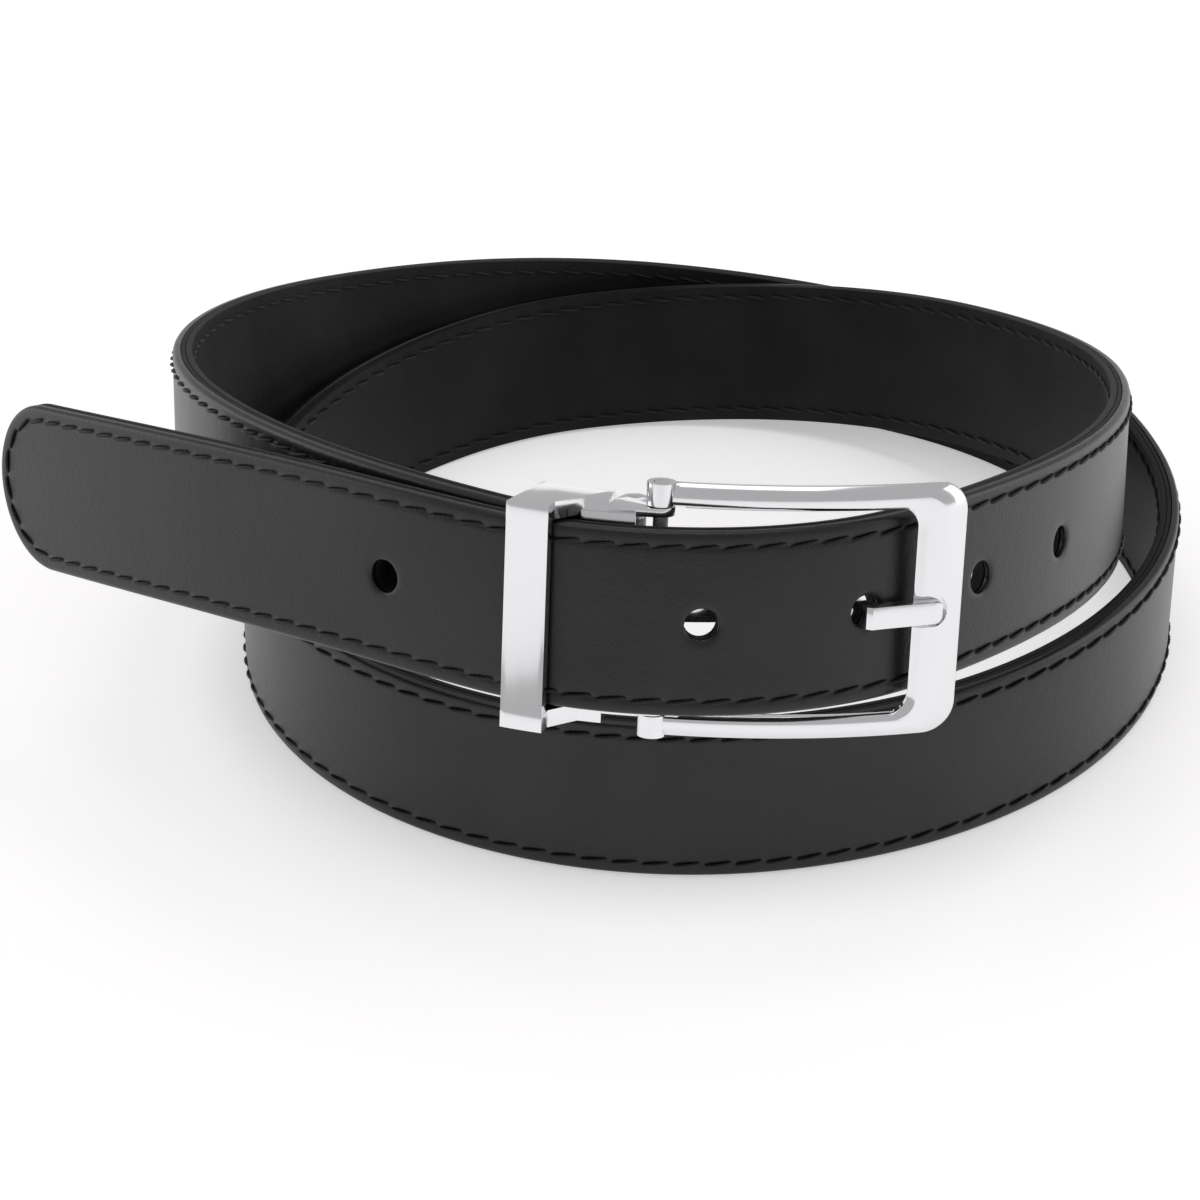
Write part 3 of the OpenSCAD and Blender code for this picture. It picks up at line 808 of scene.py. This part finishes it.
def metal_group():
    """Faint waviness of the polish, and hairline wear that dulls it in places."""
    if "polish_wear" in bpy.data.node_groups:
        return bpy.data.node_groups["polish_wear"]
    g, start, end = node_group(
        "polish_wear",
        [("Vector", "NodeSocketVector", None), ("Rough low", "NodeSocketFloat", 0.05),
         ("Rough high", "NodeSocketFloat", 0.14)],
        [("Roughness", "NodeSocketFloat"), ("Height", "NodeSocketFloat")])
    new = g.nodes.new
    stretch = new("ShaderNodeMapping")
    stretch.inputs["Scale"].default_value = (250, 250, 4200)
    g.links.new(start.outputs["Vector"], stretch.inputs["Vector"])
    lines = new("ShaderNodeTexNoise")
    lines.inputs["Scale"].default_value = 1
    lines.inputs["Detail"].default_value = 6
    g.links.new(stretch.outputs["Vector"], lines.inputs["Vector"])
    dull = new("ShaderNodeTexNoise")
    dull.inputs["Scale"].default_value = 140
    dull.inputs["Detail"].default_value = 6
    g.links.new(start.outputs["Vector"], dull.inputs["Vector"])
    wave = new("ShaderNodeTexNoise")
    wave.inputs["Scale"].default_value = 60
    g.links.new(start.outputs["Vector"], wave.inputs["Vector"])
    product = new("ShaderNodeMath")
    product.operation = "MULTIPLY"
    g.links.new(lines.outputs["Fac"], product.inputs[0])
    g.links.new(dull.outputs["Fac"], product.inputs[1])
    rough = new("ShaderNodeMapRange")
    rough.inputs["From Min"].default_value = 0.12
    rough.inputs["From Max"].default_value = 0.42
    g.links.new(product.outputs[0], rough.inputs["Value"])
    g.links.new(start.outputs["Rough low"], rough.inputs["To Min"])
    g.links.new(start.outputs["Rough high"], rough.inputs["To Max"])
    g.links.new(rough.outputs[0], end.inputs["Roughness"])
    both = new("ShaderNodeMath")
    both.operation = "MULTIPLY_ADD"
    both.inputs[1].default_value = 0.04
    g.links.new(lines.outputs["Fac"], both.inputs[0])
    g.links.new(wave.outputs["Fac"], both.inputs[2])
    g.links.new(both.outputs[0], end.inputs["Height"])
    return g


def material(name, group, metallic, strength, distance, settings=(), color=None, shine=0.5):
    mat = bpy.data.materials.new(name)
    mat.use_nodes = True
    tree = mat.node_tree
    shader = tree.nodes["Principled BSDF"]
    coords = tree.nodes.new("ShaderNodeTexCoord")
    effect = tree.nodes.new("ShaderNodeGroup")
    effect.node_tree = group
    tree.links.new(coords.outputs["Object"], effect.inputs["Vector"])
    for label, value in settings:
        effect.inputs[label].default_value = value
    if "Color" in effect.outputs:
        tree.links.new(effect.outputs["Color"], shader.inputs["Base Color"])
    else:
        shader.inputs["Base Color"].default_value = color
    tree.links.new(effect.outputs["Roughness"], shader.inputs["Roughness"])
    shader.inputs["Metallic"].default_value = metallic
    shader.inputs["Specular IOR Level"].default_value = shine
    bump = tree.nodes.new("ShaderNodeBump")
    bump.inputs["Strength"].default_value = strength
    bump.inputs["Distance"].default_value = distance
    tree.links.new(effect.outputs["Height"], bump.inputs["Height"])
    tree.links.new(bump.outputs["Normal"], shader.inputs["Normal"])
    return mat


def paint(obj, mat):
    obj.data.materials.clear()
    obj.data.materials.append(mat)


# ---- settings, operators and panel ----

class BeltSettings(bpy.types.PropertyGroup):
    station_step: bpy.props.FloatProperty(
        name="Station step", description="Distance between the face leather's cross-sections, in millimetres",
        default=0.757, min=0.5, max=3.0)
    stitch_pitch: bpy.props.FloatProperty(
        name="Stitch pitch", description="Distance between needle holes, in millimetres",
        default=5.3, min=3.0, max=8.0)
    thread_radius: bpy.props.FloatProperty(
        name="Thread radius", description="Radius of the sewing thread, in millimetres",
        default=0.3, min=0.1, max=0.6)
    seam_groove: bpy.props.FloatProperty(
        name="Seam groove", description="Depth of the groove that the stitches lie in, in millimetres",
        default=0.12, min=0.0, max=0.4)
    rim_dip: bpy.props.FloatProperty(
        name="Hole rim", description="How far the punch pressed the holes' rims in, in millimetres",
        default=0.4, min=0.0, max=0.8)
    floor_size: bpy.props.FloatProperty(
        name="Floor size", description="Side of the floor", default=12.0, unit="LENGTH",
        subtype="DISTANCE")


def hand_over(obj, mat, body, node):
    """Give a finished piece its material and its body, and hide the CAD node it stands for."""
    paint(obj, mat)
    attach(obj, body)
    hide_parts(node)


class BELT_OT_strap(bpy.types.Operator):
    """Build the face leather, the filler and the lining"""
    bl_idname = "belt.strap"
    bl_label = "Strap"

    def execute(self, context):
        s = context.scene.belt_settings
        needles = needle_points(s.stitch_pitch, UPPER_NEEDLE, LOWER_NEEDLE)
        bands = [3.4, 3.0, 2.75, 2.5, 2.25, 2.0, 1.5, 0.9, 0.55, 0.28, 0.1, 0.0]
        grain = leather_group()
        face = strap_layer("face_leather", OUTER_LOW, HALF_THICK, s.station_step, bands, 0.95, 0.12,
                           needles=needles, groove=s.seam_groove, dent=0.16, rim=s.rim_dip)
        paint(face, material("face_leather", grain, 0.0, 0.22, 0.00025, shine=0.42))
        filler = strap_layer("filler_board", FILLER_LOW, OUTER_LOW - GLUE_LINE, 1.8,
                             [3.4, 1.5, 0.15, 0.0], 0.1, 0.1, recess=0.08)
        paint(filler, material("filler_board", grain, 0.0, 0.5, 0.0004, [
            ("Dark", (0.006, 0.006, 0.006, 1)), ("Light", (0.02, 0.019, 0.018, 1)),
            ("Rough low", 0.6), ("Rough high", 0.8)], shine=0.3))
        lining = strap_layer("lining_leather", -HALF_THICK, FILLER_LOW - GLUE_LINE, 1.2,
                             [3.4, 1.5, 0.15, 0.0], 0.1, 0.4)
        paint(lining, material("lining_leather", grain, 0.0, 0.3, 0.0003, [
            ("Dark", (0.005, 0.005, 0.0055, 1)), ("Light", (0.012, 0.012, 0.013, 1)),
            ("Rough low", 0.5), ("Rough high", 0.65)], shine=0.2))
        for obj, node, slot in ((face, "strap_outer_leather", "face_leather"),
                                (filler, "strap_filler", "filler_board"),
                                (lining, "strap_lining", "lining_leather")):
            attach(obj, "strap_and_clamp")
            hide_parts(node)
        return {"FINISHED"}


class BELT_OT_stitches(bpy.types.Operator):
    """Build the stitches of both sides"""
    bl_idname = "belt.stitches"
    bl_label = "Stitches"

    def execute(self, context):
        s = context.scene.belt_settings
        needles = needle_points(s.stitch_pitch, UPPER_NEEDLE, LOWER_NEEDLE)
        grain = leather_group()
        mat = material("thread", grain, 0.0, 0.35, 0.0002, [
            ("Dark", (0.004, 0.004, 0.0045, 1)), ("Light", (0.012, 0.012, 0.013, 1)),
            ("Rough low", 0.45), ("Rough high", 0.6)], shine=0.3)
        face = stitch_row("face_thread_stitches", needles, HALF_THICK - s.seam_groove, 1.0, 16, 8,
                          s.thread_radius, 0.12)
        back = stitch_row("lining_thread_stitches", needles, -HALF_THICK, -1.0, 12, 6,
                          s.thread_radius, 0.02)
        for obj, node in ((face, "face_thread"), (back, "lining_thread")):
            hand_over(obj, mat, "strap_and_clamp", node)
        return {"FINISHED"}


def chrome():
    name = "polished_metal"
    if name in bpy.data.materials:
        return bpy.data.materials[name]
    return material(name, metal_group(), 1.0, 0.06, 0.0004, color=(0.6, 0.595, 0.585, 1))


def steel():
    name = "pin_steel"
    if name in bpy.data.materials:
        return bpy.data.materials[name]
    return material(name, metal_group(), 1.0, 0.15, 0.0003,
                    [("Rough low", 0.18), ("Rough high", 0.35)], color=(0.5, 0.5, 0.52, 1))


class BELT_OT_clamp(bpy.types.Operator):
    """Build the clamp with its keeper"""
    bl_idname = "belt.clamp"
    bl_label = "Clamp"

    def execute(self, context):
        hand_over(build_clamp_piece(), chrome(), "strap_and_clamp", "clamp_with_keeper")
        return {"FINISHED"}


class BELT_OT_frame(bpy.types.Operator):
    """Build the buckle's frame"""
    bl_idname = "belt.frame"
    bl_label = "Frame"

    def execute(self, context):
        hand_over(build_frame_piece(), chrome(), "frame", "buckle_frame")
        return {"FINISHED"}


class BELT_OT_prong(bpy.types.Operator):
    """Build the prong"""
    bl_idname = "belt.prong"
    bl_label = "Prong"

    def execute(self, context):
        hand_over(build_prong_piece(), chrome(), "prong", "prong")
        return {"FINISHED"}


class BELT_OT_pins(bpy.types.Operator):
    """Finish the pins and the jaw"""
    bl_idname = "belt.pins"
    bl_label = "Pins and jaw"

    def execute(self, context):
        for node in ("hinge_pin", "jaw", "jaw_pin"):
            paint(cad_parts[node], steel())
        return {"FINISHED"}


class BELT_OT_stage(bpy.types.Operator):
    """Set up the floor, the lights and the camera"""
    bl_idname = "belt.stage"
    bl_label = "Stage"

    def execute(self, context):
        scene = context.scene
        half = scene.belt_settings.floor_size / 2
        mesh = bpy.data.meshes.new("floor")
        corners = [(-half, -half, 0), (half, -half, 0), (half, half, 0), (-half, half, 0)]
        mesh.from_pydata(corners, [], [(0, 1, 2, 3)])
        floor = bpy.data.objects.new("floor", mesh)
        scene.collection.objects.link(floor)
        mat = bpy.data.materials.new("floor")
        mat.use_nodes = True
        shader = mat.node_tree.nodes["Principled BSDF"]
        shader.inputs["Base Color"].default_value = (0.93, 0.915, 0.915, 1)
        shader.inputs["Roughness"].default_value = 0.9
        shader.inputs["Specular IOR Level"].default_value = 0.1
        shader.inputs["Emission Color"].default_value = (1.0, 0.985, 0.985, 1)
        shader.inputs["Emission Strength"].default_value = 0.42
        mesh.materials.append(mat)
        lights = [((-1.6, 0.3, 0.45), 1.1, 5.0), ((1.6, 0.3, 0.45), 1.1, 6.5),
                  ((0.0, 0.3, 1.8), 1.2, 5.0)]
        for place, size, power in lights:
            data = bpy.data.lights.new("soft_light", "AREA")
            data.size = size
            data.energy = power
            lamp = bpy.data.objects.new("soft_light", data)
            lamp.location = place
            lamp.rotation_euler = (-Vector(place)).to_track_quat("-Z", "Y").to_euler()
            scene.collection.objects.link(lamp)
        world = bpy.data.worlds.new("studio")
        scene.world = world
        world.use_nodes = True
        world.node_tree.nodes["Background"].inputs["Color"].default_value = (1.0, 1.0, 1.0, 1)
        world.node_tree.nodes["Background"].inputs["Strength"].default_value = 0.5
        data = bpy.data.cameras.new("camera")
        data.lens = 99.8
        data.sensor_width = 36
        data.dof.use_dof = False
        camera = bpy.data.objects.new("camera", data)
        camera.location = (0.0201, -0.5636, 0.3164)
        yaw, pitch = math.radians(-2.27), math.radians(-28.38)
        ahead = Vector((math.sin(yaw) * math.cos(pitch), math.cos(yaw) * math.cos(pitch),
                        math.sin(pitch)))
        camera.rotation_euler = ahead.to_track_quat("-Z", "Y").to_euler()
        scene.collection.objects.link(camera)
        scene.camera = camera
        scene.view_settings.view_transform = "Standard"
        return {"FINISHED"}


STEPS = (BELT_OT_strap, BELT_OT_stitches, BELT_OT_clamp, BELT_OT_frame, BELT_OT_prong,
         BELT_OT_pins, BELT_OT_stage)


class BELT_PT_panel(bpy.types.Panel):
    """Buttons for each piece of the belt"""
    bl_idname = "BELT_PT_panel"
    bl_label = "Leather dress belt"
    bl_space_type = "VIEW_3D"
    bl_region_type = "UI"
    bl_category = "Belt"

    def draw(self, context):
        for name in BeltSettings.__annotations__:
            self.layout.prop(context.scene.belt_settings, name)
        for step in STEPS:
            self.layout.operator(step.bl_idname)


CLASSES = (BeltSettings,) + STEPS + (BELT_PT_panel,)


def register():
    for cls in CLASSES:
        bpy.utils.register_class(cls)
    bpy.types.Scene.belt_settings = bpy.props.PointerProperty(type=BeltSettings)


def unregister():
    del bpy.types.Scene.belt_settings
    for cls in reversed(CLASSES):
        bpy.utils.unregister_class(cls)


def main():
    register()
    bpy.ops.belt.strap()
    bpy.ops.belt.stitches()
    bpy.ops.belt.clamp()
    bpy.ops.belt.frame()
    bpy.ops.belt.prong()
    bpy.ops.belt.pins()
    bpy.ops.belt.stage()


if __name__ == "__main__":
    main()
